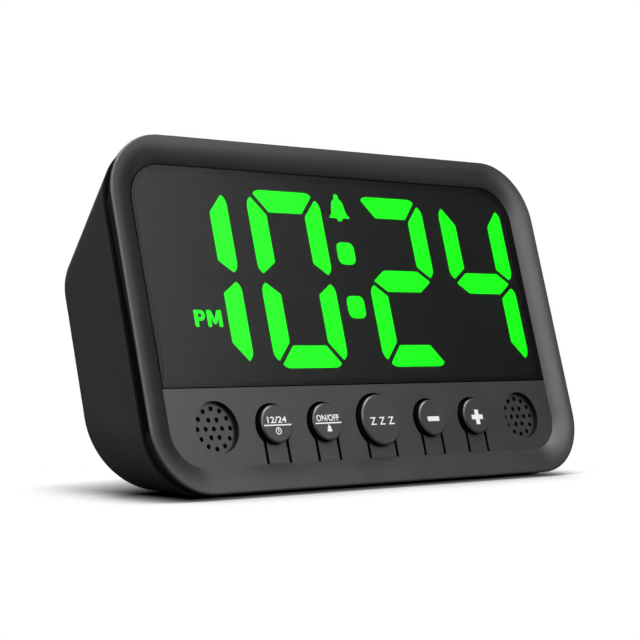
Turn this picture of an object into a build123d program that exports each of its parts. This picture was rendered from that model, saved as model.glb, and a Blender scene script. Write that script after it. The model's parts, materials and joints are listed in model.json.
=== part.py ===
from build123d import *
from math import cos, radians, sin, tan
import os

# Digital alarm clock. The front leans back, the base is flat, and the top of the rear shell slopes
# down from the bezel to the back. Depths are measured behind the face, square to it; heights on the
# face are measured up from the lower edge of the lens.

# Face and bezel bead
face_width = 160.0
lens_opening_height = 61.9
panel_height = 21.1
upper_corner_radius = 11.0
lower_corner_radius = 10.0
bead_width = 7.5
bead_height = 2.4
bead_edge_radius = 0.5
bead_land = 0.3
lean_angle = 15.84

# Neck behind the bead, and the lip that enters the rear shell
neck_step = 0.5
neck_taper = 1.1
parting_depth = 2.7
lip_length = 1.2
lip_thickness = 1.0
lip_clearance = 0.15

# Front housing walls
panel_thickness = 2.2
ledge_width = 2.0
ledge_thickness = 1.5
rim_thickness = 1.8

# Lens
lens_thickness = 1.2
lens_gap = 0.3
lens_lower_radius = 0.6

# Rear shell
shell_inset = 0.5
shell_wall = 2.0
body_depth = 28.2
slope_angle = 38.1
slope_drop = 0.8
back_edge_radius = 3.0
back_corner_radius = 21.5
rebate_extra = 0.2

# Keys
small_cap_diameter = 10.5
snooze_cap_diameter = 14.5
cap_rise = 1.85
cap_edge_chamfer = 0.4
cap_gap = 0.85
small_tongue_width = 6.8
snooze_tongue_width = 9.4
slit_width = 0.95
tongue_thickness = 1.4
tongue_root_inset = 0.1
root_gap = 0.05
post_diameter = 2.4
post_gap = 0.12

# Sound grilles
grille_inset = 22.0
grille_recess_diameter = 14.2
grille_recess_depth = 1.5
grille_hole_diameter = 1.4
grille_hole_sides = 10
grille_ring_pitch = 2.7

# Seven-bar digits, from the digit's own outer corners
display_margin = 4.8
digit_gap = 7.25
colon_gap = 13.7
digit_height = 51.2
digit_drop = 0.05
display_center = 1.0
bar_width = 6.3
level_tip_inset = 2.8
level_tip_drop = 1.05
level_shoulder = 5.2
level_inner_inset = 7.4
side_tip_inset = 1.6
side_tip_drop = 2.15
side_shoulder = 5.0
side_inner_drop = 7.3
side_low_inner = 4.65
side_low_tip = 1.4
side_low_shoulder = 4.1
middle_tip_inset = 2.2
middle_corner_inset = 6.7
colon_size = 6.5
colon_radius = 1.9
colon_spacing = 16.0
indicator_radius = 0.8
alarm_light_width = 8.0
alarm_light_length = 8.4
alarm_light_raise = 21.7
pm_light_margin = 2.2
pm_light_length = 5.0
pm_light_shift = 0.2
pm_light_drop = 11.7

# Display block behind the lens
reflector_clearance = 0.5
lens_air_gap = 0.1
reflector_depth = 8.0
window_thickness = 1.0
window_clearance = 0.05

# Circuit board
board_thickness = 1.6
board_side_inset = 11.6
board_bottom_inset = 2.6
board_top_inset = 3.4
board_corner_radius = 4.0
ear_drop = 14.9
ear_length = 8.0
ear_overhang = 2.8

# Push switches
switch_size = 6.0
switch_depth = 3.5
plunger_diameter = 3.5
plunger_clearance = 0.08
plunger_rise = 1.48
plunger_seat = 1.0
plunger_room = 0.8

# Parts on the board
sounder_diameter = 14.0
sounder_air_gap = 0.4
sounder_port_diameter = 3.0
sounder_port_depth = 2.0
chip_height = 2.2
clock_chip_size = (18.0, 8.0)
clock_chip_place = (-42.0, 26.0)
driver_chip_size = (15.0, 7.0)
driver_chip_place = (34.0, 44.0)
chip_chamfer = 0.4
crystal_length = 10.5
crystal_width = 4.4
crystal_height = 3.4
crystal_place = (-42.0, 12.0)
capacitor_diameter = 8.0
capacitor_height = 11.5
capacitor_place = (36.0, 22.0)

# Fasteners
board_screw_height = -4.9
ear_screw_inset = 7.0
board_boss_diameter = 5.0
board_screw_diameter = 2.2
board_screw_head_diameter = 4.0
board_screw_head_height = 1.4
board_screw_length = 7.0
housing_screw_inset = 6.6
housing_screw_heights = (2.0, 30.0)
housing_boss_diameter = 6.0
housing_screw_diameter = 2.6
housing_screw_head_diameter = 5.0
housing_screw_head_height = 2.0
housing_screw_length = 7.0
screw_clearance = 0.05
screw_hole_clearance = 0.2
boss_depth = 10.0
well_floor = 2.0
well_wall = 1.3
well_clearance = 0.4
pilot_extra = 0.6

# Backup cell, its quarter-turn cover and its pocket
cell_center_height = 13.0
cell_diameter = 20.0
cell_thickness = 3.2
cell_clearance = 0.35
cell_cap_diameter = 17.6
cell_cap_step = 0.5
cell_top_gap = 0.1
cell_spring_room = 0.7
pocket_floor = 1.4
pocket_wall = 1.5
cover_diameter = 27.4
cover_thickness = 1.6
cover_clearance = 0.2
cover_seat_gap = 0.05
cover_edge_chamfer = 0.4
cover_lip = 1.0
cover_lip_width = 1.8
lug_thickness = 1.0
lug_reach = 1.4
lug_angle = 40.0
notch_extra_angle = 6.0
groove_clearance = 0.15
spigot_wall = 1.3
cover_turn = 50.0
coin_slot_length = 14.0
coin_slot_width = 2.2
coin_slot_depth = 0.8
contact_thickness = 0.3
contact_width = 4.0
contact_slot_clearance = 0.25
contact_leg_place = 7.0
contact_bow_half = 5.0

# Power inlet
jack_inset = 32.0
jack_raise = 5.05
jack_width = 9.4
jack_length = 11.0
jack_corner_radius = 1.0
jack_nose_diameter = 8.0
jack_nose_clearance = 0.15
jack_nose_recess = 0.3
jack_wall_gap = 0.1
jack_bore_diameter = 6.4
jack_bore_depth = 10.0
jack_pin_diameter = 2.0
jack_pin_length = 9.0

# Feet
foot_height = 0.6
foot_recess = 0.8
foot_length = 16.0
foot_depth = 6.0
foot_clearance = 0.1
foot_inset = 35.0
foot_front_setback = 4.2
foot_rear_setback = 3.6

# Sizes that follow from the ones above
KEYS_EACH_SIDE = 2
DIGITS_EACH_SIDE = 2
lean_sin = sin(radians(lean_angle))
lean_cos = cos(radians(lean_angle))
lean_tan = tan(radians(lean_angle))
slope_fall = tan(radians(slope_angle))
slope_cos = cos(radians(slope_angle))
opening_width = face_width - 2 * bead_width
opening_height = lens_opening_height + panel_height
opening_top = lens_opening_height
opening_middle = (lens_opening_height - panel_height) / 2
shell_outset = bead_width - shell_inset
cavity_outset = shell_outset - shell_wall
lip_outset = cavity_outset - lip_clearance
lip_top = opening_top - upper_corner_radius
panel_middle = -panel_height / 2
key_height = panel_middle
tongue_root_height = tongue_root_inset - panel_height
grille_place = face_width / 2 - grille_inset
key_row = grille_place - (grille_recess_diameter + snooze_cap_diameter) / 2
key_row_gap = (key_row - KEYS_EACH_SIDE * small_cap_diameter) / (KEYS_EACH_SIDE + 1)
inner_key_pitch = (snooze_cap_diameter + small_cap_diameter) / 2 + key_row_gap
outer_key_pitch = inner_key_pitch + small_cap_diameter + key_row_gap
board_screw_place = (inner_key_pitch + outer_key_pitch) / 2
digit_width = (opening_width / 2 - display_margin - digit_gap - colon_gap / 2) / DIGITS_EACH_SIDE
inner_digit_pitch = (colon_gap + digit_width) / 2
outer_digit_pitch = inner_digit_pitch + digit_width + digit_gap
digit_center_height = opening_top / 2 - digit_drop
alarm_light_height = digit_center_height + alarm_light_raise
pm_light_height = digit_center_height - pm_light_drop
pm_light_place = pm_light_shift - outer_digit_pitch
pm_light_width = digit_width - 2 * (bar_width + pm_light_margin)
board_width = face_width - 2 * board_side_inset
board_bottom = board_bottom_inset - panel_height
board_top = opening_top - board_top_inset
ear_height = opening_top - ear_drop
ear_screw_place = face_width / 2 - ear_screw_inset
ear_width = 2 * (ear_screw_place + ear_overhang)
housing_screw_place = face_width / 2 - housing_screw_inset
jack_place = (face_width / 2 - jack_inset, panel_middle + jack_raise)
foot_place = face_width / 2 - foot_inset
ledge_depth = lens_thickness + ledge_thickness
reflector_front = lens_thickness + lens_air_gap
board_front = reflector_front + reflector_depth
board_back = board_front + board_thickness
wall_depth = body_depth - shell_wall
sweep_reach = 3 * body_depth

# The face's own axes, placed so that the feet stand on the ground and the depth is centred
front_reach = (panel_height + bead_width - bead_edge_radius) * lean_sin
front_reach += (bead_height - bead_edge_radius) * lean_cos + bead_edge_radius
knee_depth = body_depth - back_edge_radius
knee_height = opening_top + shell_outset - slope_drop - slope_fall * (knee_depth - parting_depth)
knee_height -= back_edge_radius / slope_cos
back_reach = knee_height * lean_sin + knee_depth * lean_cos + back_edge_radius
face_y = (front_reach - back_reach) / 2
face_z = foot_height + (panel_height + shell_outset) * lean_cos + parting_depth * lean_sin
FACE = Plane(origin=(0, face_y, face_z), x_dir=(1, 0, 0), z_dir=(0, -lean_cos, lean_sin))
DOWN_SLOPE = Vector(0, lean_cos - slope_fall * lean_sin, -lean_sin - slope_fall * lean_cos)

KEYS = {
    "time": (-outer_key_pitch, small_cap_diameter, small_tongue_width),
    "alarm": (-inner_key_pitch, small_cap_diameter, small_tongue_width),
    "snooze": (0.0, snooze_cap_diameter, snooze_tongue_width),
    "minus": (inner_key_pitch, small_cap_diameter, small_tongue_width),
    "plus": (outer_key_pitch, small_cap_diameter, small_tongue_width),
}
GRILLE_RINGS = (1, 2)
HOLES_IN_FIRST_RING = 6
GRILLE_PLACES = [(display_center + side * grille_place, key_height) for side in (-1, 1)]
DIGIT_CENTERS = [
    display_center + place
    for place in (-outer_digit_pitch, -inner_digit_pitch, inner_digit_pitch, outer_digit_pitch)
]
LIT_BARS = ("bc", "abcdef", "abged", "fgbc")
ALL_BARS = "abcdefg"
BOARD_SCREWS = [
    (-board_screw_place, board_screw_height),
    (board_screw_place, board_screw_height),
    (-ear_screw_place, ear_height),
    (ear_screw_place, ear_height),
]
HOUSING_SCREWS = [
    (side * housing_screw_place, height) for side in (-1, 1) for height in housing_screw_heights
]

os.makedirs("parts", exist_ok=True)


def at_depth(depth):
    """Plane parallel to the face, the given depth behind it, that looks forward."""
    return FACE.offset(-depth)


def write(solid, name):
    """Label a finished piece and write it to its own file."""
    solid.label = name
    export_step(solid, "parts/" + name + ".step")


def body_outline(outset, rise, lower_radius):
    """Add the opening's outline, grown by outset and moved up by rise, to the open sketch."""
    with BuildSketch(mode=Mode.PRIVATE) as outline:
        with Locations((0, opening_middle + rise)):
            Rectangle(opening_width + 2 * outset, opening_height + 2 * outset)
        fillet(outline.vertices().group_by(Axis.Y)[-1], upper_corner_radius + outset)
        fillet(outline.vertices().group_by(Axis.Y)[0], lower_radius)
    add(outline.sketch)


def face_outline(outset):
    """Add the opening's own outline, grown by outset, to the open sketch."""
    body_outline(outset, 0, lower_corner_radius + outset)


def above_lip():
    """Add the area over the end of the housing's lip to the open sketch."""
    with Locations((0, lip_top + face_width / 2)):
        Rectangle(face_width, face_width)


def lens_outline(inset):
    """Add the lens opening's outline, shrunk by inset, to the open sketch."""
    with BuildSketch(mode=Mode.PRIVATE) as outline:
        with Locations((0, lens_opening_height / 2)):
            Rectangle(opening_width - 2 * inset, lens_opening_height - 2 * inset)
        fillet(outline.vertices().group_by(Axis.Y)[-1], upper_corner_radius - inset)
    add(outline.sketch)


def ring_sector(center, inner, outer, middle_angle, size):
    """Add a sector of a ring to the open sketch."""
    start = middle_angle - size / 2
    with BuildLine() as outline:
        near = CenterArc(center, inner, start, size)
        far = CenterArc(center, outer, start, size)
        Line(near @ 0, far @ 0)
        Line(near @ 1, far @ 1)
    make_face(outline.edges())


def level_bar(center, side):
    """Add a digit's top bar (side 1) or bottom bar (side -1) to the open sketch."""
    outer = digit_center_height + side * digit_height / 2
    tip = outer - side * level_tip_drop
    inner = outer - side * bar_width
    tip_reach = digit_width / 2 - level_tip_inset
    shoulder_reach = digit_width / 2 - level_shoulder
    inner_reach = digit_width / 2 - level_inner_inset
    with BuildLine() as outline:
        edge = Line((center - shoulder_reach, outer), (center + shoulder_reach, outer))
        right = TangentArc(edge @ 1, (center + tip_reach, tip), tangent=(1, 0))
        left = TangentArc(edge @ 0, (center - tip_reach, tip), tangent=(-1, 0))
        Polyline(right @ 1, (center + inner_reach, inner), (center - inner_reach, inner), left @ 1)
    make_face(outline.edges())


def side_bar(center, across, up):
    """Add one of a digit's four upright bars to the open sketch; across and up are 1 or -1."""
    outer = center + across * digit_width / 2
    tip = outer - across * side_tip_inset
    inner = outer - across * bar_width
    heights = [
        digit_center_height + up * reach
        for reach in (
            digit_height / 2 - side_tip_drop,
            digit_height / 2 - side_shoulder,
            digit_height / 2 - side_inner_drop,
            side_low_inner,
            side_low_shoulder,
            side_low_tip,
        )
    ]
    far_tip, far_shoulder, far_inner, near_inner, near_shoulder, near_tip = heights
    with BuildLine() as outline:
        edge = Line((outer, near_shoulder), (outer, far_shoulder))
        far = TangentArc(edge @ 1, (tip, far_tip), tangent=(0, up))
        near = TangentArc(edge @ 0, (tip, near_tip), tangent=(0, -up))
        Polyline(far @ 1, (inner, far_inner), (inner, near_inner), near @ 1)
    make_face(outline.edges())


def middle_bar(center):
    """Add a digit's middle bar to the open sketch."""
    tip_reach = digit_width / 2 - middle_tip_inset
    corner_reach = digit_width / 2 - middle_corner_inset
    top = digit_center_height + bar_width / 2
    bottom = digit_center_height - bar_width / 2
    with BuildLine() as outline:
        Polyline(
            (center - tip_reach, digit_center_height),
            (center - corner_reach, top),
            (center + corner_reach, top),
            (center + tip_reach, digit_center_height),
            (center + corner_reach, bottom),
            (center - corner_reach, bottom),
            close=True,
        )
    make_face(outline.edges())


def digit_bar(center, letter):
    """Add the lettered bar of a seven-bar digit to the open sketch."""
    if letter == "g":
        middle_bar(center)
    elif letter in "ad":
        level_bar(center, 1 if letter == "a" else -1)
    else:
        side_bar(center, 1 if letter in "bc" else -1, 1 if letter in "bf" else -1)


def colon_outline():
    """Add the two colon dots to the open sketch."""
    with Locations((display_center, digit_center_height)):
        with GridLocations(0, colon_spacing, 1, 2):
            RectangleRounded(colon_size, colon_size, colon_radius)


def alarm_light_outline():
    """Add the alarm indicator's window to the open sketch."""
    with Locations((display_center, alarm_light_height)):
        RectangleRounded(alarm_light_width, alarm_light_length, indicator_radius)


def pm_light_outline():
    """Add the afternoon indicator's window to the open sketch."""
    with Locations((display_center + pm_light_place, pm_light_height)):
        RectangleRounded(pm_light_width, pm_light_length, indicator_radius)


def key_opening(place, cap_diameter, tongue_width):
    """Add the gap round a key cap and its tongue to the open sketch."""
    with Locations((place, key_height)):
        Circle(cap_diameter / 2 + cap_gap)
    with Locations((place, (key_height + tongue_root_height) / 2)):
        Rectangle(tongue_width + 2 * slit_width, key_height - tongue_root_height)


# Front housing: swept bead and neck, key panel, lens ledge, bosses, key openings and grilles
with BuildSketch(FACE) as opening_face:
    face_outline(0)
bead_path = opening_face.sketch.face().outer_wire()
outward = (bead_path % 0).cross(FACE.z_dir)
BEAD_SECTION = Plane(origin=bead_path @ 0, x_dir=outward, z_dir=outward.cross(FACE.z_dir))
crest = bead_width - bead_edge_radius
edge_rise = bead_height - bead_edge_radius
neck_front = edge_rise - bead_land
neck_outset = bead_width - neck_step
neck_back_outset = neck_outset - neck_taper
lip_inner = lip_outset - lip_thickness
with BuildPart() as front_housing:
    with BuildSketch(BEAD_SECTION):
        with BuildLine():
            inner_arc = TangentArc((crest, bead_height), (0, 0), tangent=(-1, 0))
            edge_arc = TangentArc((crest, bead_height), (bead_width, edge_rise), tangent=(1, 0))
            Polyline(
                edge_arc @ 1,
                (bead_width, neck_front),
                (neck_outset, neck_front),
                (neck_back_outset, -parting_depth),
                (lip_outset, -parting_depth),
                (lip_outset, -parting_depth - lip_length),
                (lip_inner, -parting_depth - lip_length),
                (lip_inner, 0),
                (rim_thickness, bead_height - panel_thickness - rim_thickness),
                (rim_thickness, -ledge_depth),
                (0, -ledge_depth),
                inner_arc @ 1,
            )
        make_face()
    sweep(path=bead_path)
    with BuildSketch(at_depth(parting_depth + lip_length)):
        above_lip()
    extrude(amount=lip_length, mode=Mode.SUBTRACT)
    with BuildSketch(at_depth(panel_thickness)):
        with Locations((0, panel_middle)):
            Rectangle(opening_width + rim_thickness, panel_height)
        with BuildSketch(mode=Mode.INTERSECT):
            face_outline(rim_thickness / 2)
    extrude(amount=panel_thickness)
    with BuildSketch(at_depth(ledge_depth)):
        face_outline(rim_thickness / 2)
        with Locations((0, panel_middle - ledge_width)):
            Rectangle(face_width, panel_height, mode=Mode.SUBTRACT)
        with BuildSketch(mode=Mode.SUBTRACT):
            lens_outline(ledge_width)
    extrude(amount=ledge_thickness)
    for screws, diameter, depth in (
        (BOARD_SCREWS, board_boss_diameter, board_front),
        (HOUSING_SCREWS, housing_boss_diameter, boss_depth),
    ):
        with BuildSketch(at_depth(depth)):
            with Locations(*screws):
                Circle(diameter / 2)
        extrude(amount=depth - lens_thickness)
    for screws, diameter, depth, length in (
        (BOARD_SCREWS, board_screw_diameter, board_front, board_screw_length - board_thickness),
        (HOUSING_SCREWS, housing_screw_diameter, boss_depth, housing_screw_length - well_floor),
    ):
        with BuildSketch(at_depth(depth)):
            with Locations(*screws):
                Circle(diameter / 2 + screw_clearance)
        extrude(amount=length + pilot_extra, mode=Mode.SUBTRACT)
    with BuildSketch(at_depth(panel_thickness)):
        for place, cap_diameter, tongue_width in KEYS.values():
            key_opening(place, cap_diameter, tongue_width)
    extrude(amount=panel_thickness, mode=Mode.SUBTRACT)
    with BuildSketch(at_depth(grille_recess_depth)):
        with Locations(*GRILLE_PLACES):
            Circle(grille_recess_diameter / 2)
    extrude(amount=grille_recess_depth, mode=Mode.SUBTRACT)
    with BuildSketch(at_depth(panel_thickness)):
        with Locations(*GRILLE_PLACES):
            RegularPolygon(grille_hole_diameter / 2, grille_hole_sides)
            for ring in GRILLE_RINGS:
                with PolarLocations(ring * grille_ring_pitch, HOLES_IN_FIRST_RING * ring):
                    RegularPolygon(grille_hole_diameter / 2, grille_hole_sides)
    extrude(amount=panel_thickness, mode=Mode.SUBTRACT)
write(front_housing.part, "front_housing")

# Lens
with BuildPart() as display_lens:
    with BuildSketch(at_depth(lens_thickness)) as lens_face:
        lens_outline(lens_gap)
        fillet(lens_face.vertices().group_by(Axis.Y)[0], lens_lower_radius)
    extrude(amount=lens_thickness)
write(display_lens.part, "display_lens")

# Keys: a raised cap on a thin tongue, with a post behind it that reaches for its switch
switch_front = board_front - switch_depth
plunger_tip = switch_front - plunger_rise
for name, (place, cap_diameter, tongue_width) in KEYS.items():
    with BuildPart() as key:
        with BuildSketch(at_depth(tongue_thickness)):
            with Locations((place, (key_height + tongue_root_height + root_gap) / 2)):
                Rectangle(tongue_width, key_height - tongue_root_height - root_gap)
        extrude(amount=tongue_thickness)
        with BuildSketch(at_depth(tongue_thickness)):
            with Locations((place, key_height)):
                Circle(cap_diameter / 2)
        extrude(amount=tongue_thickness + cap_rise)
        rim = key.faces().sort_by(Axis(FACE.origin, FACE.z_dir))[-1].edges()
        chamfer(rim, cap_edge_chamfer)
        with BuildSketch(at_depth(plunger_tip - post_gap)):
            with Locations((place, key_height)):
                Circle(post_diameter / 2)
        extrude(amount=plunger_tip - post_gap - tongue_thickness)
    write(key.part, name + "_key")

# Light windows of the display
windows_back = reflector_front + window_thickness
with BuildPart() as lit_segments:
    with BuildSketch(at_depth(windows_back)):
        for center, letters in zip(DIGIT_CENTERS, LIT_BARS):
            for letter in letters:
                digit_bar(center, letter)
    extrude(amount=window_thickness)
write(lit_segments.part, "lit_segments")

with BuildPart() as unlit_segments:
    with BuildSketch(at_depth(windows_back)):
        for center, letters in zip(DIGIT_CENTERS, LIT_BARS):
            for letter in ALL_BARS:
                if letter not in letters:
                    digit_bar(center, letter)
    extrude(amount=window_thickness)
write(unlit_segments.part, "unlit_segments")

for outline, name in (
    (colon_outline, "colon_dots"),
    (alarm_light_outline, "alarm_light"),
    (pm_light_outline, "pm_light"),
):
    with BuildPart() as window:
        with BuildSketch(at_depth(windows_back)):
            outline()
        extrude(amount=window_thickness)
    write(window.part, name)

# Reflector block with a pocket for every window
with BuildPart() as display_reflector:
    with BuildSketch(at_depth(board_front)):
        lens_outline(ledge_width + reflector_clearance)
    extrude(amount=reflector_depth)
    with BuildSketch(at_depth(windows_back)):
        for center in DIGIT_CENTERS:
            for letter in ALL_BARS:
                digit_bar(center, letter)
        colon_outline()
        alarm_light_outline()
        pm_light_outline()
        offset(amount=window_clearance, kind=Kind.INTERSECTION)
    extrude(amount=window_thickness, mode=Mode.SUBTRACT)
write(display_reflector.part, "display_reflector")

# Circuit board, with two ears that reach the upper bosses
with BuildPart() as main_board:
    with BuildSketch(at_depth(board_back)):
        with Locations((0, (board_bottom + board_top) / 2)):
            RectangleRounded(board_width, board_top - board_bottom, board_corner_radius)
        with Locations((0, ear_height)):
            Rectangle(ear_width, ear_length)
        with Locations(*BOARD_SCREWS):
            Circle(board_screw_diameter / 2 + screw_hole_clearance, mode=Mode.SUBTRACT)
    extrude(amount=board_thickness)
write(main_board.part, "main_board")

# Push switches: square bodies on the board, each with a round plunger
with BuildPart() as switch_bodies:
    with BuildSketch(at_depth(board_front)):
        with Locations(*[(place, key_height) for place, _, _ in KEYS.values()]):
            Rectangle(switch_size, switch_size)
    extrude(amount=switch_depth)
    with BuildSketch(at_depth(switch_front + plunger_seat + plunger_room)):
        with Locations(*[(place, key_height) for place, _, _ in KEYS.values()]):
            Circle(plunger_diameter / 2 + plunger_clearance)
    extrude(amount=plunger_seat + plunger_room, mode=Mode.SUBTRACT)
write(switch_bodies.part, "switch_bodies")

for name, (place, _, _) in KEYS.items():
    with BuildPart() as plunger:
        with BuildSketch(at_depth(switch_front + plunger_seat)):
            with Locations((place, key_height)):
                Circle(plunger_diameter / 2)
        extrude(amount=plunger_seat + plunger_rise)
    write(plunger.part, name + "_plunger")

# Sounders on the board, right behind the grilles
sounder_height = board_front - panel_thickness - sounder_air_gap
for place, name in zip(GRILLE_PLACES, ("left_sounder", "right_sounder")):
    with BuildPart() as sounder:
        with BuildSketch(at_depth(board_front)):
            with Locations(place):
                Circle(sounder_diameter / 2)
        extrude(amount=sounder_height)
        with BuildSketch(at_depth(board_front - sounder_height + sounder_port_depth)):
            with Locations(place):
                Circle(sounder_port_diameter / 2)
        extrude(amount=sounder_port_depth, mode=Mode.SUBTRACT)
    write(sounder.part, name)

# Parts on the back of the board
for size, place, name in (
    (clock_chip_size, clock_chip_place, "clock_chip"),
    (driver_chip_size, driver_chip_place, "driver_chip"),
):
    with BuildPart() as chip:
        with BuildSketch(at_depth(board_back + chip_height)):
            with Locations(place):
                Rectangle(*size)
        extrude(amount=chip_height)
        chamfer(chip.faces().sort_by(Axis(FACE.origin, FACE.z_dir))[0].edges(), chip_chamfer)
    write(chip.part, name)

with BuildPart() as timing_crystal:
    with BuildSketch(at_depth(board_back + crystal_height)):
        with Locations(crystal_place):
            SlotOverall(crystal_length, crystal_width)
    extrude(amount=crystal_height)
write(timing_crystal.part, "timing_crystal")

with BuildPart() as smoothing_capacitor:
    with BuildSketch(at_depth(board_back + capacitor_height)):
        with Locations(capacitor_place):
            Circle(capacitor_diameter / 2)
    extrude(amount=capacitor_height)
write(smoothing_capacitor.part, "smoothing_capacitor")

# Power inlet on the board, with its nose in the back wall
jack_back = wall_depth - jack_wall_gap
jack_nose_back = body_depth - jack_nose_recess
with BuildPart() as dc_jack:
    with BuildSketch(at_depth(jack_back)):
        with Locations(jack_place):
            RectangleRounded(jack_width, jack_length, jack_corner_radius)
    extrude(amount=jack_back - board_back)
    with BuildSketch(at_depth(jack_nose_back)):
        with Locations(jack_place):
            Circle(jack_nose_diameter / 2)
    extrude(amount=jack_nose_back - jack_back)
    with BuildSketch(at_depth(jack_nose_back)):
        with Locations(jack_place):
            Circle(jack_bore_diameter / 2)
    extrude(amount=jack_bore_depth, mode=Mode.SUBTRACT)
write(dc_jack.part, "dc_jack")

jack_bore_end = jack_nose_back - jack_bore_depth
with BuildPart() as dc_jack_pin:
    with BuildSketch(at_depth(jack_bore_end + jack_pin_length)):
        with Locations(jack_place):
            Circle(jack_pin_diameter / 2)
    extrude(amount=jack_pin_length)
write(dc_jack_pin.part, "dc_jack_pin")

# Quarter-turn pocket: depths of its steps, from the back wall inwards
cell_place = (0, cell_center_height)
cover_seat = body_depth - cover_thickness - cover_seat_gap
lip_back = cover_seat - cover_lip
groove_bottom = lip_back - lug_thickness - 2 * groove_clearance
cell_back = groove_bottom - cell_top_gap
cell_front = cell_back - cell_thickness
pocket_bottom = cell_front - cell_spring_room
recess_radius = cover_diameter / 2 + cover_clearance
lip_radius = recess_radius - cover_lip_width
spigot_radius = lip_radius - cover_clearance
lug_radius = spigot_radius + lug_reach
groove_radius = lug_radius + cover_clearance
cell_radius = cell_diameter / 2 + cell_clearance
pocket_radius = recess_radius + pocket_wall
locked_angles = (90, 270)
open_angles = [angle - cover_turn for angle in locked_angles]
leg_slot = contact_thickness + 2 * contact_slot_clearance
contact_slot = contact_width + 2 * contact_slot_clearance

# Hollow of the rear shell, swept like its outside
with BuildPart() as shell_cavity:
    for depth, lower_radius in (
        (parting_depth, lower_corner_radius + cavity_outset),
        (wall_depth, back_corner_radius - shell_wall),
    ):
        with BuildSketch(at_depth(depth)):
            body_outline(cavity_outset, (depth - parting_depth) * lean_tan, lower_radius)
    loft(ruled=True)
    with BuildSketch(at_depth(parting_depth)):
        body_outline(cavity_outset, -slope_drop, lower_corner_radius + cavity_outset)
    extrude(amount=sweep_reach, dir=DOWN_SLOPE, mode=Mode.INTERSECT)

# Feet stand on the ground, near the front and rear edges of the base
base_front = face_y - (panel_height + shell_outset) * lean_sin + parting_depth * lean_cos
base_back = base_front + (body_depth - parting_depth) / lean_cos
base_back_flat = base_back - back_edge_radius * (1 - lean_sin) / lean_cos
FOOT_ROWS = (base_front + foot_front_setback, base_back_flat - foot_rear_setback)
FOOT_PLACES = [(side * foot_place, row) for side in (-1, 1) for row in FOOT_ROWS]

# Rear shell: flat base and sloping top from one outline swept two ways, cut by the leaning back
with BuildPart() as rear_shell:
    for depth, lower_radius in (
        (parting_depth, lower_corner_radius + shell_outset),
        (body_depth, back_corner_radius),
    ):
        with BuildSketch(at_depth(depth)):
            body_outline(shell_outset, (depth - parting_depth) * lean_tan, lower_radius)
    loft(ruled=True)
    with BuildSketch(at_depth(parting_depth)):
        body_outline(shell_outset, -slope_drop, lower_corner_radius + shell_outset)
    extrude(amount=sweep_reach, dir=DOWN_SLOPE, mode=Mode.INTERSECT)
    back_face = rear_shell.faces().sort_by(Axis(FACE.origin, FACE.z_dir))[0]
    fillet(back_face.edges(), back_edge_radius)
    add(shell_cavity.part, mode=Mode.SUBTRACT)
    with BuildSketch(at_depth(parting_depth + lip_length + rebate_extra)):
        face_outline(cavity_outset)
        with BuildSketch(mode=Mode.SUBTRACT):
            above_lip()
    extrude(amount=lip_length + rebate_extra, mode=Mode.SUBTRACT)
    with BuildSketch(at_depth(wall_depth)):
        with Locations(*HOUSING_SCREWS):
            Circle(housing_screw_head_diameter / 2 + well_clearance + well_wall)
    extrude(amount=wall_depth - boss_depth)
    with BuildSketch(at_depth(wall_depth)):
        with Locations(cell_place):
            Circle(pocket_radius)
    extrude(amount=wall_depth - pocket_bottom + pocket_floor)
    with BuildSketch(at_depth(body_depth)):
        with Locations(*HOUSING_SCREWS):
            Circle(housing_screw_head_diameter / 2 + well_clearance)
    extrude(amount=body_depth - boss_depth - well_floor, mode=Mode.SUBTRACT)
    with BuildSketch(at_depth(body_depth)):
        with Locations(*HOUSING_SCREWS):
            Circle(housing_screw_diameter / 2 + screw_hole_clearance)
    extrude(amount=body_depth - boss_depth, mode=Mode.SUBTRACT)
    for radius, outer_depth, inner_depth in (
        (recess_radius, body_depth, cover_seat),
        (lip_radius, cover_seat, lip_back),
        (groove_radius, lip_back, groove_bottom),
        (cell_radius, groove_bottom, pocket_bottom),
    ):
        with BuildSketch(at_depth(outer_depth)):
            with Locations(cell_place):
                Circle(radius)
        extrude(amount=outer_depth - inner_depth, mode=Mode.SUBTRACT)
    with BuildSketch(at_depth(cover_seat)):
        for angle in open_angles:
            ring_sector(cell_place, spigot_radius, groove_radius, angle, lug_angle + notch_extra_angle)
    extrude(amount=cover_lip, mode=Mode.SUBTRACT)
    with BuildSketch(at_depth(pocket_bottom)):
        with Locations((-contact_leg_place, cell_center_height)):
            Rectangle(leg_slot, contact_slot)
        with Locations((cell_radius + contact_thickness / 2, cell_center_height)):
            Rectangle(leg_slot, contact_slot)
    extrude(amount=pocket_floor, mode=Mode.SUBTRACT)
    with BuildSketch(at_depth(groove_bottom)):
        with Locations((cell_radius + contact_thickness / 2, cell_center_height)):
            Rectangle(leg_slot, contact_slot)
    extrude(amount=groove_bottom - pocket_bottom, mode=Mode.SUBTRACT)
    with BuildSketch(at_depth(body_depth)):
        with Locations(jack_place):
            Circle(jack_nose_diameter / 2 + jack_nose_clearance)
    extrude(amount=shell_wall, mode=Mode.SUBTRACT)
    with BuildSketch(Plane.XY.offset(foot_height)):
        with Locations(*FOOT_PLACES):
            SlotOverall(foot_length + 2 * foot_clearance, foot_depth + 2 * foot_clearance)
    extrude(amount=foot_recess, mode=Mode.SUBTRACT)
write(rear_shell.part, "rear_shell")

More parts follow.
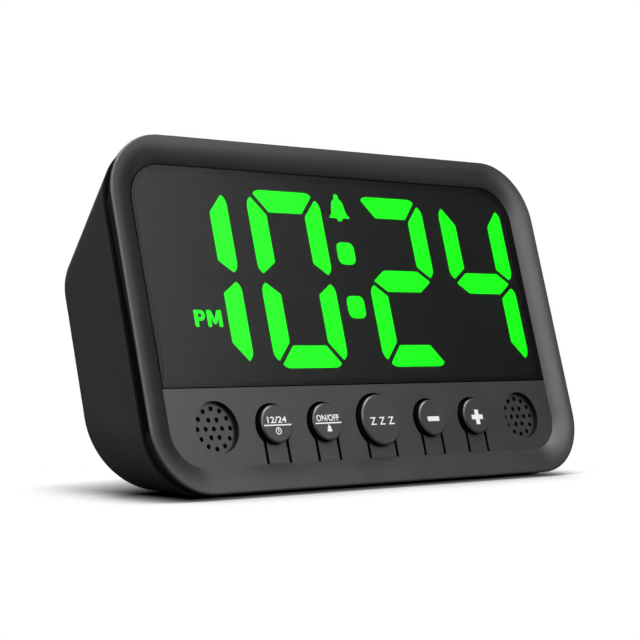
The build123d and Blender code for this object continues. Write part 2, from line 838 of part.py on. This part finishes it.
# Quarter-turn cover with a coin slot, a spigot and two lugs
with BuildPart() as battery_cover:
    with BuildSketch(at_depth(body_depth)):
        with Locations(cell_place):
            Circle(cover_diameter / 2)
    extrude(amount=cover_thickness)
    outside = battery_cover.faces().sort_by(Axis(FACE.origin, FACE.z_dir))[0]
    chamfer(outside.edges(), cover_edge_chamfer)
    spigot_end = lip_back - lug_thickness - groove_clearance
    with BuildSketch(at_depth(body_depth - cover_thickness)):
        with Locations(cell_place):
            Circle(spigot_radius)
            Circle(spigot_radius - spigot_wall, mode=Mode.SUBTRACT)
    extrude(amount=body_depth - cover_thickness - spigot_end)
    with BuildSketch(at_depth(spigot_end + lug_thickness)):
        for angle in locked_angles:
            ring_sector(cell_place, spigot_radius - spigot_wall / 2, lug_radius, angle, lug_angle)
    extrude(amount=lug_thickness)
    with BuildSketch(at_depth(body_depth)):
        with Locations(cell_place):
            SlotOverall(coin_slot_length, coin_slot_width)
    extrude(amount=coin_slot_depth, mode=Mode.SUBTRACT)
write(battery_cover.part, "battery_cover")

# Backup cell
with BuildPart() as coin_cell:
    for diameter, thickness in (
        (cell_diameter, cell_thickness - cell_cap_step),
        (cell_cap_diameter, cell_thickness),
    ):
        with BuildSketch(at_depth(cell_back)):
            with Locations(cell_place):
                Circle(diameter / 2)
        extrude(amount=thickness)
write(coin_cell.part, "coin_cell")

# Contacts of the cell: a bowed leaf under it and a strip beside it, each with a leg to the board
cell_middle = FACE.from_local_coords((0, cell_center_height, 0))
CONTACT_SIDE = Plane(origin=cell_middle, x_dir=(1, 0, 0), z_dir=FACE.y_dir)
half_contact = contact_thickness / 2
leaf_depth = pocket_bottom + half_contact
bow_depth = cell_front - half_contact - cell_top_gap
with BuildPart() as cell_spring_contact:
    with BuildSketch(CONTACT_SIDE):
        with BuildLine():
            Polyline(
                (-contact_leg_place, board_back),
                (-contact_leg_place, leaf_depth),
                (-contact_bow_half, leaf_depth),
                (0, bow_depth),
                (contact_bow_half, leaf_depth),
            )
        trace(line_width=contact_thickness)
    extrude(amount=contact_width / 2, both=True)
    split(bisect_by=at_depth(board_back), keep=Keep.BOTTOM)
write(cell_spring_contact.part, "cell_spring_contact")

with BuildPart() as cell_side_contact:
    with BuildSketch(at_depth(groove_bottom)):
        with Locations((cell_radius + contact_thickness / 2, cell_center_height)):
            Rectangle(contact_thickness, contact_width)
    extrude(amount=groove_bottom - board_back)
write(cell_side_contact.part, "cell_side_contact")

# Screws
for name, places, seat, head_diameter, head_height, diameter, length in (
    (
        "housing_screws",
        HOUSING_SCREWS,
        boss_depth + well_floor,
        housing_screw_head_diameter,
        housing_screw_head_height,
        housing_screw_diameter,
        housing_screw_length,
    ),
    (
        "board_screws",
        BOARD_SCREWS,
        board_back,
        board_screw_head_diameter,
        board_screw_head_height,
        board_screw_diameter,
        board_screw_length,
    ),
):
    with BuildPart() as screws:
        with BuildSketch(at_depth(seat + head_height)):
            with Locations(*places):
                Circle(head_diameter / 2)
        extrude(amount=head_height)
        with BuildSketch(at_depth(seat)):
            with Locations(*places):
                Circle(diameter / 2)
        extrude(amount=length)
    write(screws.part, name)

# Rubber feet
with BuildPart() as rubber_feet:
    with BuildSketch(Plane.XY):
        with Locations(*FOOT_PLACES):
            SlotOverall(foot_length, foot_depth)
    extrude(amount=foot_height + foot_recess)
write(rubber_feet.part, "rubber_feet")
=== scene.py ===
import json
from math import cos, pi, radians, sin

import bmesh
import bpy
from mathutils import Matrix, Vector


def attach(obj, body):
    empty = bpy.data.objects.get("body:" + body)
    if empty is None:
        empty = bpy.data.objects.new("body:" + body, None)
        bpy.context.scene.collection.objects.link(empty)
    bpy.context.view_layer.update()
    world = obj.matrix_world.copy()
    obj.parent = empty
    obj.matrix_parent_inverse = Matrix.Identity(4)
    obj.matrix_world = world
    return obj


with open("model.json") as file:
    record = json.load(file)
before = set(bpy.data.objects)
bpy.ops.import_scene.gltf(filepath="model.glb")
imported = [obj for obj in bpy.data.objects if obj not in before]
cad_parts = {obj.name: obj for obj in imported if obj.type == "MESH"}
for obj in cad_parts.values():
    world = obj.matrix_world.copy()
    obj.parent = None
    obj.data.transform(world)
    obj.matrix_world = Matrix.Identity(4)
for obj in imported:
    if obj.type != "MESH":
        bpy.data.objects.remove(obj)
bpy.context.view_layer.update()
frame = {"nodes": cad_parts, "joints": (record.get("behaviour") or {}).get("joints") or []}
nodes = frame["nodes"]
joint_axes = {joint["name"]: joint["axis"] for joint in frame["joints"]}

MM = 0.001

# The face leans back. Places on it are given as (across, up the face, out of the face).
back = Vector(joint_axes["battery_cover_turn"]).normalized()
up = Vector((0, -back.z, back.y))
from_face = Matrix(((1, 0, 0), (0, up.y, -back.y), (0, up.z, -back.z)))
to_face = from_face.transposed()


def face_box(node):
    """Lowest and highest place of a CAD node on the face."""
    places = [to_face @ vertex.co for vertex in nodes[node].data.vertices]
    return Vector(map(min, zip(*places))), Vector(map(max, zip(*places)))


def new_object(name, data):
    made = bpy.data.objects.new(name, data)
    bpy.context.scene.collection.objects.link(made)
    return made


def new_mesh(name, made):
    """Turns a finished bmesh into a mesh."""
    mesh = bpy.data.meshes.new(name)
    made.to_mesh(mesh)
    made.free()
    return mesh


# Shader nodes

WHITE = (1, 1, 1, 1)
BLACK = (0, 0, 0, 1)
NOISE_SPAN = (0.3, 0.7)
NOISE_ROUGHNESS = 0.55


def grey(level):
    return (level, level, level)


def fill(tree, node, inputs):
    """Sets a node's inputs to values, or links them to the outputs of other nodes."""
    for name, value in inputs.items():
        if isinstance(value, bpy.types.NodeSocket):
            tree.links.new(value, node.inputs[name])
        else:
            node.inputs[name].default_value = value


def shader(tree, kind, inputs=None, **settings):
    """A new node with its settings and inputs."""
    made = tree.nodes.new(kind)
    for name, value in settings.items():
        setattr(made, name, value)
    fill(tree, made, inputs or {})
    return made


def arithmetic(tree, operation, first, second):
    inputs = {0: first, 1: second}
    return shader(tree, "ShaderNodeMath", inputs, operation=operation).outputs["Value"]


def vectors(tree, operation, *values, result="Vector"):
    inputs = dict(enumerate(values))
    return shader(tree, "ShaderNodeVectorMath", inputs, operation=operation).outputs[result]


def tinted(tree, colour, level):
    """A colour times a level."""
    inputs = {0: colour, "Scale": level}
    return shader(tree, "ShaderNodeVectorMath", inputs, operation="SCALE").outputs["Vector"]


def map_range(tree, value, before=(0, 1), after=(0, 1), **settings):
    """Carries a value from one range to another and holds it at the ends."""
    inputs = {
        "Value": value,
        "From Min": before[0],
        "From Max": before[1],
        "To Min": after[0],
        "To Max": after[1],
    }
    return shader(tree, "ShaderNodeMapRange", inputs, **settings).outputs["Result"]


def swing(tree, factor, middle, spread):
    """Spreads a noise evenly about a middle value."""
    return map_range(tree, factor, NOISE_SPAN, (middle - spread, middle + spread))


def openness(tree, reach, samples):
    """One on open surfaces, and less where others stand closer than the reach."""
    inputs = {"Distance": reach}
    return shader(tree, "ShaderNodeAmbientOcclusion", inputs, samples=samples).outputs["AO"]


def object_place(tree):
    return shader(tree, "ShaderNodeTexCoord").outputs["Object"]


def noise(tree, place, feature, detail=3.0, stretch=(1, 1, 1)):
    """Noise with features of a size in metres, drawn out along an axis by its stretch."""
    squeezed = shader(
        tree, "ShaderNodeMapping", {"Vector": place, "Scale": [1 / length for length in stretch]}
    )
    inputs = {
        "Vector": squeezed.outputs["Vector"],
        "Scale": 1 / feature,
        "Detail": detail,
        "Roughness": NOISE_ROUGHNESS,
    }
    return shader(tree, "ShaderNodeTexNoise", inputs).outputs["Fac"]


def new_finish(name):
    material = bpy.data.materials.new(name)
    material.use_nodes = True
    return material, material.node_tree, material.node_tree.nodes["Principled BSDF"]


# Finishes

CLOUD_SIZE = 14 * MM
CLOUD_GLOSS = 0.04
# Painted shade in gaps and recesses, from ambient occlusion
NOOK_REACH = 2.2 * MM
NOOK_SAMPLES = 8
NOOK_OPENNESS = (0.3, 0.8)
NOOK_SHADE = (0.06, 1.0)
HAZE_SIZE = 20 * MM
HAZE = 0.02
ACRYLIC_IOR = 1.49
GLOW_PATCH_SIZE = 6 * MM
GLOW_PATCHINESS = 0.04


def moulded(
    name,
    colour,
    roughness,
    grain,
    depth,
    specular=0.5,
    uneven=0.05,
    stretch=(1, 1, 1),
    metallic=0.0,
    painted_nook_shade=False,
):
    """A finish with cloudy colour, uneven gloss and a fine grain of a size and depth in metres.

    With painted nook shade, its colour is darkened to near black in gaps, behind lips and on the
    walls of recesses: painted shade from ambient occlusion.
    """
    material, tree, surface = new_finish(name)
    place = object_place(tree)
    clouds = noise(tree, place, CLOUD_SIZE)
    grains = noise(tree, place, grain, stretch=stretch)
    level = arithmetic(
        tree, "MULTIPLY", swing(tree, clouds, 1, uneven), swing(tree, grains, 1, uneven)
    )
    # Painted shade: the colour falls towards black where other surfaces stand close.
    if painted_nook_shade:
        shade = map_range(
            tree, openness(tree, NOOK_REACH, NOOK_SAMPLES), NOOK_OPENNESS, NOOK_SHADE
        )
        level = arithmetic(tree, "MULTIPLY", level, shade)
    bump = shader(tree, "ShaderNodeBump", {"Height": grains, "Strength": 1.0, "Distance": depth})
    inputs = {
        "Base Color": tinted(tree, colour, level),
        "Roughness": swing(tree, clouds, roughness, CLOUD_GLOSS),
        "Normal": bump.outputs["Normal"],
        "Specular IOR Level": specular,
        "Metallic": metallic,
    }
    fill(tree, surface, inputs)
    return material


def tinted_acrylic(name, level, roughness, coat, coat_roughness):
    """A clear tint with a faint haze under a glossy coat."""
    material, tree, surface = new_finish(name)
    haze = swing(tree, noise(tree, object_place(tree), HAZE_SIZE), 1, HAZE)
    inputs = {
        "Base Color": tinted(tree, grey(level), haze),
        "Roughness": roughness,
        "Specular Tint": BLACK,
        "Transmission Weight": 1.0,
        "IOR": ACRYLIC_IOR,
        "Coat Weight": coat,
        "Coat Roughness": coat_roughness,
        "Coat IOR": ACRYLIC_IOR,
    }
    fill(tree, surface, inputs)
    return material


def glowing(name, colour, strength):
    """A light window with a slightly uneven glow."""
    material, tree, surface = new_finish(name)
    patches = noise(tree, object_place(tree), GLOW_PATCH_SIZE, detail=2.0)
    inputs = {
        "Emission Strength": swing(tree, patches, strength, GLOW_PATCHINESS * strength),
        "Emission Color": (*colour, 1),
        "Base Color": BLACK,
        "Specular IOR Level": 0.0,
    }
    fill(tree, surface, inputs)
    return material


housing_plastic = moulded(
    "housing_plastic",
    grey(0.018),
    roughness=0.40,
    grain=0.32 * MM,
    depth=0.005 * MM,
    specular=1.0,
    painted_nook_shade=True,
)
key_plastic = moulded(
    "key_plastic",
    grey(0.018),
    roughness=0.40,
    grain=0.28 * MM,
    depth=0.004 * MM,
    specular=1.0,
    painted_nook_shade=True,
)
# Darker, duller plastic for the housing's walls: painted shade.
wall_painted_shade = moulded(
    "wall_painted_shade",
    grey(0.010),
    roughness=0.75,
    grain=0.4 * MM,
    depth=0.010 * MM,
    specular=0.08,
    painted_nook_shade=True,
)
shell_plastic = moulded(
    "shell_plastic",
    grey(0.027),
    roughness=0.72,
    grain=0.45 * MM,
    depth=0.022 * MM,
    specular=0.12,
    painted_nook_shade=True,
)
smoked_lens = tinted_acrylic(
    "smoked_lens", level=0.34, roughness=0.18, coat=0.64, coat_roughness=0.3
)
lit_window = glowing("lit_window", (0.0, 1.0, 0.0), strength=5.4)
# Dull black for the unlit display parts, and as painted shade on walls and the ledge behind the
# lens.
dull_black_and_painted_shade = moulded(
    "dull_black_and_painted_shade", grey(0.004), roughness=0.6, grain=0.3 * MM, depth=0.003 * MM, specular=0.0
)
solder_mask = moulded(
    "solder_mask",
    (0.012, 0.105, 0.040),
    roughness=0.38,
    grain=0.9 * MM,
    depth=0.004 * MM,
    uneven=0.12,
)
switch_plastic = moulded(
    "switch_plastic", grey(0.018), roughness=0.48, grain=0.3 * MM, depth=0.006 * MM
)
plunger_plastic = moulded(
    "plunger_plastic", grey(0.32), roughness=0.45, grain=0.25 * MM, depth=0.004 * MM
)
chip_epoxy = moulded(
    "chip_epoxy", grey(0.022), roughness=0.62, grain=0.12 * MM, depth=0.006 * MM, specular=0.3
)
capacitor_film = moulded(
    "capacitor_film", (0.020, 0.035, 0.085), roughness=0.3, grain=0.6 * MM, depth=0.004 * MM
)
bright_metal = moulded(
    "bright_metal",
    grey(0.62),
    roughness=0.26,
    grain=0.15 * MM,
    depth=0.002 * MM,
    stretch=(12, 1, 1),
    metallic=1.0,
)
pin_metal = moulded(
    "pin_metal",
    (0.66, 0.60, 0.46),
    roughness=0.24,
    grain=0.12 * MM,
    depth=0.002 * MM,
    stretch=(1, 12, 1),
    metallic=1.0,
)
screw_steel = moulded(
    "screw_steel",
    grey(0.38),
    roughness=0.34,
    grain=0.1 * MM,
    depth=0.004 * MM,
    stretch=(1, 1, 6),
    metallic=1.0,
)
foot_rubber = moulded(
    "foot_rubber", grey(0.020), roughness=0.78, grain=0.2 * MM, depth=0.015 * MM, specular=0.25
)
print_white = moulded(
    "print_white",
    grey(0.88),
    roughness=0.5,
    grain=0.2 * MM,
    depth=0.003 * MM,
    specular=0.3,
    uneven=0.03,
)

KEYS = ("time", "alarm", "snooze", "minus", "plus")

finishes = {
    housing_plastic: ("front_housing",),
    key_plastic: tuple(key + "_key" for key in KEYS),
    shell_plastic: ("rear_shell", "battery_cover"),
    smoked_lens: ("display_lens",),
    lit_window: ("lit_segments", "colon_dots"),
    dull_black_and_painted_shade: ("unlit_segments", "alarm_light", "pm_light", "display_reflector"),
    solder_mask: ("main_board",),
    switch_plastic: ("switch_bodies", "left_sounder", "right_sounder", "dc_jack"),
    plunger_plastic: tuple(key + "_plunger" for key in KEYS),
    chip_epoxy: ("clock_chip", "driver_chip"),
    capacitor_film: ("smoothing_capacitor",),
    bright_metal: ("timing_crystal", "coin_cell", "cell_spring_contact", "cell_side_contact"),
    pin_metal: ("dc_jack_pin",),
    screw_steel: ("housing_screws", "board_screws"),
    foot_rubber: ("rubber_feet",),
}
for finish, names in finishes.items():
    for name in names:
        nodes[name].data.materials.clear()
        nodes[name].data.materials.append(finish)

# Faces that stand about square to the face, from a drop below the bead's crest, are walls that
# get painted shade: darker, duller finishes.
WALL_DROP = 0.75 * MM
WALL_FACING = 0.42
LEDGE_ROOM = 0.1 * MM
wall_top = face_box("front_housing")[1].z - WALL_DROP
lens_low = face_box("display_lens")[0]


def on_painted_shade_wall(polygon, place):
    return abs(polygon.normal.dot(back)) < WALL_FACING and place.z < wall_top


def on_painted_shade_ledge(polygon, place):
    """On the housing's ledge behind the lens, which gets dull black as painted shade."""
    return place.z < lens_low.z + LEDGE_ROOM and place.y > lens_low.y


def refinish(name, finish, chosen):
    """Gives the chosen faces of a CAD node another finish."""
    mesh = nodes[name].data
    mesh.materials.append(finish)
    for polygon in mesh.polygons:
        if chosen(polygon, to_face @ polygon.center):
            polygon.material_index = len(mesh.materials) - 1


# Painted shade: the housing's walls get a darker, duller plastic.
refinish("front_housing", wall_painted_shade, on_painted_shade_wall)
# Painted shade: the ledge behind the lens is dull black.
refinish("front_housing", dull_black_and_painted_shade, on_painted_shade_ledge)
# Painted shade: the side walls of the lens and the keys are dull black, so the gaps around them
# read dark.
for name in ("display_lens",) + finishes[key_plastic]:
    refinish(name, dull_black_and_painted_shade, on_painted_shade_wall)


# Marks, drawn flat in millimetres with a thickness of one

BELL_LIP = 3.75
LETTER_RESOLUTION = 4
HALF_THICKNESS = 0.5


def arc(centre, radius, start, end, steps):
    """Points on an arc, with its angles in degrees."""
    angles = [radians(start + (end - start) * step / steps) for step in range(steps + 1)]
    return [(centre[0] + radius * cos(a), centre[1] + radius * sin(a)) for a in angles]


def bend(start, pull, end, steps):
    """Points on a curve that leaves start towards pull and reaches end from it."""
    shares = [step / steps for step in range(steps + 1)]
    return [
        tuple(
            (1 - t) ** 2 * a + 2 * t * (1 - t) * b + t * t * c
            for a, b, c in zip(start, pull, end)
        )
        for t in shares
    ]


def bar(width, height, centre=(0, 0)):
    """Corners of a rectangle."""
    x, y = width / 2, height / 2
    return [(centre[0] + a, centre[1] + b) for a, b in ((-x, -y), (x, -y), (x, y), (-x, y))]


def bell(half_width, lift=0.0):
    """Outline of a bell with its knob and clapper, whose lip stands at the given height."""
    clapper = arc((0, 0), 1.02, 180, 360, 12)
    waist = bend((BELL_LIP, 0.35), (2.62, 0.85), (2.45, 2.6), 6)
    shoulder = bend((2.2, 3.8), (2.1, 5.2), (0.75, 5.55), 6)
    knob = arc((0, 6.25), 0.85, -56, 236, 14)
    right = [(BELL_LIP, 0)] + waist + shoulder
    outline = clapper + right + knob + [(-x, y) for x, y in reversed(right)]
    size = half_width / BELL_LIP
    return [(size * x, lift + size * y) for x, y in outline]


def prism(made, outline):
    """Adds a flat shape, drawn counter-clockwise."""
    low = [made.verts.new((x, y, 0)) for x, y in outline]
    high = [made.verts.new((x, y, 1)) for x, y in outline]
    made.faces.new(high)
    made.faces.new(low[::-1])
    for i in range(len(outline)):
        made.faces.new((low[i - 1], low[i], high[i], high[i - 1]))


def ring(made, centre, outer, inner, sides):
    """Adds a flat ring."""
    edges = [
        [made.verts.new((x, y, z)) for x, y in arc(centre, radius, 0, 360, sides)[:-1]]
        for radius, z in ((outer, 0), (outer, 1), (inner, 1), (inner, 0))
    ]
    for first, second in zip(edges, edges[1:] + edges[:1]):
        for i in range(sides):
            made.faces.new((first[i - 1], first[i], second[i], second[i - 1]))


def word(made, text, centre, height, width, boldness):
    """Adds a word whose letters are drawn out to fill a width and a height."""
    curve = bpy.data.curves.new("word", "FONT")
    curve.body = text
    curve.extrude = HALF_THICKNESS
    curve.offset = boldness
    curve.resolution_u = LETTER_RESOLUTION
    carrier = new_object("word", curve)
    bpy.context.view_layer.update()
    depsgraph = bpy.context.evaluated_depsgraph_get()
    mesh = bpy.data.meshes.new_from_object(carrier.evaluated_get(depsgraph))
    bpy.data.objects.remove(carrier)
    bpy.data.curves.remove(curve)
    places = [vertex.co for vertex in mesh.vertices]
    low = Vector(map(min, zip(*places)))
    high = Vector(map(max, zip(*places)))
    wide, tall = width / (high.x - low.x), height / (high.y - low.y)
    for vertex in mesh.vertices:
        x, y, _ = vertex.co - (low + high) / 2
        vertex.co = (centre[0] + wide * x, centre[1] + tall * y, vertex.co.z + HALF_THICKNESS)
    made.from_mesh(mesh)
    bpy.data.meshes.remove(mesh)


def place_mark(name, made, centre, thickness, body, finish):
    """Turns drawn shapes into a piece that lies on the face and moves with a CAD body."""
    bmesh.ops.recalc_face_normals(made, faces=made.faces)
    mesh = new_mesh(name, made)
    mesh.transform(Matrix.Translation(centre) @ Matrix.Diagonal((MM, MM, thickness, 1)))
    mesh.transform(from_face.to_4x4())
    mesh.materials.append(finish)
    piece = new_object(name, mesh)
    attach(piece, body)


# Printed marks sit a little below the middle of each cap.

PRINT_THICKNESS = 0.02 * MM
PRINT_DROP = 0.4 * MM
WORD_RAISE = 1.45
WORD_HEIGHT = 1.8
WORD_BOLDNESS = 0.018
RULE = (9.4, 0.36)
DIAL_HEIGHT = -1.6
DIAL_RADIUS = 1.0
DIAL_INNER_RADIUS = 0.72
DIAL_SIDES = 24
HAND_WIDTH = 0.26
UP_HAND = 0.72
UP_HAND_RAISE = 0.32
SIDE_HAND = 0.55
SIDE_HAND_SHIFT = 0.14
BELL_SIGN_HALF_WIDTH = 1.0
BELL_SIGN_HEIGHT = -2.3
SLEEP_PITCH = 3.4
SLEEP_SIZE = 2.2
SLEEP_BOLDNESS = 0.012
SIGN_BAR = (4.6, 1.38)
SIGN_ARM = (1.6, 1.5)


def print_on(key, made):
    low, high = face_box(key + "_key")
    cap_radius = (high.x - low.x) / 2
    centre = Vector(((low.x + high.x) / 2, high.y - cap_radius - PRINT_DROP, high.z))
    place_mark(key + "_mark", made, centre, PRINT_THICKNESS, key + "_key", print_white)


def ruled_word(text, width):
    """A word over a rule, with room for a sign below it."""
    made = bmesh.new()
    word(made, text, (0, WORD_RAISE), WORD_HEIGHT, width, WORD_BOLDNESS)
    prism(made, bar(*RULE))
    return made


made = ruled_word("12/24", width=6.6)
ring(made, (0, DIAL_HEIGHT), DIAL_RADIUS, DIAL_INNER_RADIUS, DIAL_SIDES)
prism(made, bar(HAND_WIDTH, UP_HAND, (0, DIAL_HEIGHT + UP_HAND_RAISE)))
prism(made, bar(SIDE_HAND, HAND_WIDTH, (SIDE_HAND_SHIFT, DIAL_HEIGHT)))
print_on("time", made)

made = ruled_word("ON/OFF", width=8.2)
prism(made, bell(BELL_SIGN_HALF_WIDTH, BELL_SIGN_HEIGHT))
print_on("alarm", made)

made = bmesh.new()
for across in (-SLEEP_PITCH, 0, SLEEP_PITCH):
    word(made, "Z", (across, 0), SLEEP_SIZE, SLEEP_SIZE, SLEEP_BOLDNESS)
print_on("snooze", made)

made = bmesh.new()
prism(made, bar(*SIGN_BAR))
print_on("minus", made)

made = bmesh.new()
arm_place = (SIGN_BAR[1] + SIGN_ARM[1]) / 2
prism(made, bar(*SIGN_BAR))
for height in (arm_place, -arm_place):
    prism(made, bar(*SIGN_ARM, (0, height)))
print_on("plus", made)

# The bell and the afternoon mark glow in the gap between their windows and the lens.

GLOW_THICKNESS = 0.05 * MM
BELL_HALF_WIDTH = 3.78
BELL_DROP = 3.04 * MM
LETTER_REACH = 2.25
STEM_WIDTH = 1.15
STEM_PLACE = -3.97
BOWL_HEIGHT = 0.83
BOWL_RADIUS = LETTER_REACH - BOWL_HEIGHT
HOLLOW_RADIUS = 0.52
M_PLACE = 2.12


def glow_before(window, made, drop=0.0):
    low, high = face_box(window)
    middle = (low + high) / 2
    gap = lens_low.z - high.z
    centre = Vector((middle.x, middle.y - drop, high.z + (gap - GLOW_THICKNESS) / 2))
    place_mark(window + "_mark", made, centre, GLOW_THICKNESS, "case", lit_window)


made = bmesh.new()
prism(made, bell(BELL_HALF_WIDTH))
glow_before("alarm_light", made, BELL_DROP)

made = bmesh.new()
prism(made, bar(STEM_WIDTH, 2 * LETTER_REACH, (STEM_PLACE, 0)))
stem_edge = STEM_PLACE + STEM_WIDTH / 2
bowl = arc((-2.45, BOWL_HEIGHT), BOWL_RADIUS, 90, -90, 12)
hollow = arc((-2.5, BOWL_HEIGHT), HOLLOW_RADIUS, -90, 90, 8)
bowl_start, bowl_end, hollow_start, hollow_end = [
    (stem_edge, height) for _, height in (bowl[0], bowl[-1], hollow[0], hollow[-1])
]
prism(made, [bowl_start] + bowl + [bowl_end, hollow_start] + hollow + [hollow_end])
right_half = [
    (0.4, -1.5),
    (1.32, 0.75),
    (1.32, -LETTER_REACH),
    (2.42, -LETTER_REACH),
    (2.42, LETTER_REACH),
    (1.02, LETTER_REACH),
]
left_half = [(-x, y) for x, y in reversed(right_half)]
prism(made, [(M_PLACE + x, y) for x, y in right_half + [(0, -0.3)] + left_half])
glow_before("pm_light", made)


# Camera, placed where the photo was taken from

CAMERA_PLACE = Vector((-357.101, -399.097, 41.872)) * MM
CAMERA_YAW = radians(41.358)
CAMERA_PITCH = radians(0.503)
CAMERA_LENS = 104.935
SENSOR_WIDTH = 36.0
NEAREST_SEEN = 0.01

camera_data = bpy.data.cameras.new("camera")
camera_data.lens = CAMERA_LENS
camera_data.sensor_width = SENSOR_WIDTH
camera_data.clip_start = NEAREST_SEEN
camera = new_object("camera", camera_data)
camera.location = CAMERA_PLACE
camera.rotation_euler = (pi / 2 + CAMERA_PITCH, 0, -CAMERA_YAW)
bpy.context.scene.camera = camera
bpy.context.scene.view_settings.view_transform = "Standard"


# Studio: a white cove whose floor takes the shadow, with painted contact shadow near the clock,
# and plain soft lights, in metres

COVE_HALF_WIDTH = 1.6
COVE_FRONT = -2.5
COVE_BACK = 2.2
COVE_BEND = 0.8
COVE_HEIGHT = 4.0
COVE_ROUGHNESS = 0.9
SHADOW_CENTRE = (0.0, 0.022, 0.0)
FOOTPRINT = (0.064, 0.038, 0.0)
SHADOW_SPAN = (0.0, 0.032)
MIRROR_SPAN = (0.20, 0.80)
MIRRORED_SHARE = 0.5
FLOOR_WHITE = 0.74
NEAR_BOUNCE = 0.4
FAR_BOUNCE = 0.05
# The floor's colour is darkened near the clock as painted contact shadow, from ambient
# occlusion.
CONTACT_REACH = 0.06
CONTACT_SAMPLES = 16
CONTACT_OPENNESS = (0.42, 0.95)
WORLD_LIGHT = 0.04
LIGHT_AIM = Vector((0, 0, 0.045))


def cove_white():
    """White that takes shadow near the clock, darkened there by painted contact shadow, and is
    plain white further off.
    """
    material, tree, surface = new_finish("cove_white")
    path = shader(tree, "ShaderNodeLightPath").outputs
    seen = arithmetic(tree, "MAXIMUM", path["Is Camera Ray"], path["Is Transmission Ray"])

    spread = vectors(tree, "SUBTRACT", object_place(tree), SHADOW_CENTRE)
    spread = vectors(tree, "ABSOLUTE", spread)
    beyond = vectors(tree, "SUBTRACT", spread, FOOTPRINT)
    beyond = vectors(tree, "MAXIMUM", beyond, (0, 0, 0))
    distance = vectors(tree, "LENGTH", beyond, result="Value")
    far = map_range(tree, distance, SHADOW_SPAN, interpolation_type="SMOOTHSTEP")

    bounce = map_range(tree, far, after=(NEAR_BOUNCE, FAR_BOUNCE))
    level = map_range(tree, seen, after=(bounce, FLOOR_WHITE))
    # Painted contact shadow: the floor's colour falls towards black where the clock stands
    # close.
    painted_contact_shadow = map_range(tree, openness(tree, CONTACT_REACH, CONTACT_SAMPLES), CONTACT_OPENNESS)
    inputs = {
        "Base Color": arithmetic(tree, "MULTIPLY", level, painted_contact_shadow),
        "Roughness": COVE_ROUGHNESS,
        "Specular IOR Level": 0.0,
    }
    fill(tree, surface, inputs)

    mirrored = map_range(tree, distance, MIRROR_SPAN, (0, MIRRORED_SHARE))
    mirrored = arithmetic(tree, "MULTIPLY", mirrored, path["Is Glossy Ray"])
    share = arithmetic(tree, "MULTIPLY", far, seen)
    share = arithmetic(tree, "MAXIMUM", share, mirrored)
    plain = shader(tree, "ShaderNodeEmission", {"Color": WHITE, "Strength": 1.0})
    mixed = shader(
        tree, "ShaderNodeMixShader", {0: share, 1: surface.outputs[0], 2: plain.outputs[0]}
    )
    fill(tree, tree.nodes["Material Output"], {"Surface": mixed.outputs[0]})
    return material


def cove():
    """Floor, bend and wall, with the wall behind the clock as the camera sees it."""
    bend_points = arc((COVE_BACK, COVE_BEND), COVE_BEND, -90, 0, 12)
    profile = [(COVE_FRONT, 0.0)] + bend_points + [(COVE_BACK + COVE_BEND, COVE_HEIGHT)]
    made = bmesh.new()
    left = [made.verts.new((-COVE_HALF_WIDTH, y, z)) for y, z in profile]
    right = [made.verts.new((COVE_HALF_WIDTH, y, z)) for y, z in profile]
    for i in range(1, len(profile)):
        made.faces.new((left[i - 1], right[i - 1], right[i], left[i]))
    mesh = new_mesh("cove", made)
    mesh.transform(Matrix.Rotation(-CAMERA_YAW, 4, "Z"))
    mesh.materials.append(cove_white())
    return new_object("cove", mesh)


def softbox(name, azimuth, elevation, distance, size, power):
    """A square lamp aimed at the clock, its azimuth counted from the front towards the right."""
    a, e = radians(azimuth), radians(elevation)
    light = bpy.data.lights.new(name, "AREA")
    light.shape = "SQUARE"
    light.size = size
    light.energy = power
    lamp = new_object(name, light)
    lamp.location = LIGHT_AIM + distance * Vector((sin(a) * cos(e), -cos(a) * cos(e), sin(e)))
    lamp.rotation_euler = (LIGHT_AIM - lamp.location).to_track_quat("-Z", "Y").to_euler()


studio = cove()

world = bpy.data.worlds.new("studio")
world.use_nodes = True
sky = world.node_tree
from_camera = shader(sky, "ShaderNodeLightPath").outputs["Is Camera Ray"]
sky_level = map_range(sky, from_camera, after=(WORLD_LIGHT, 1.0))
fill(sky, sky.nodes["Background"], {"Color": WHITE, "Strength": sky_level})
bpy.context.scene.world = world

softbox("left_light", azimuth=-82, elevation=30, distance=0.9, size=1.0, power=8.6)
softbox("front_light", azimuth=11, elevation=36, distance=1.0, size=0.95, power=6.1)
softbox("top_light", azimuth=0, elevation=88, distance=1.6, size=1.2, power=27.0)
softbox("rear_light", azimuth=142, elevation=14, distance=1.2, size=0.9, power=22.0)
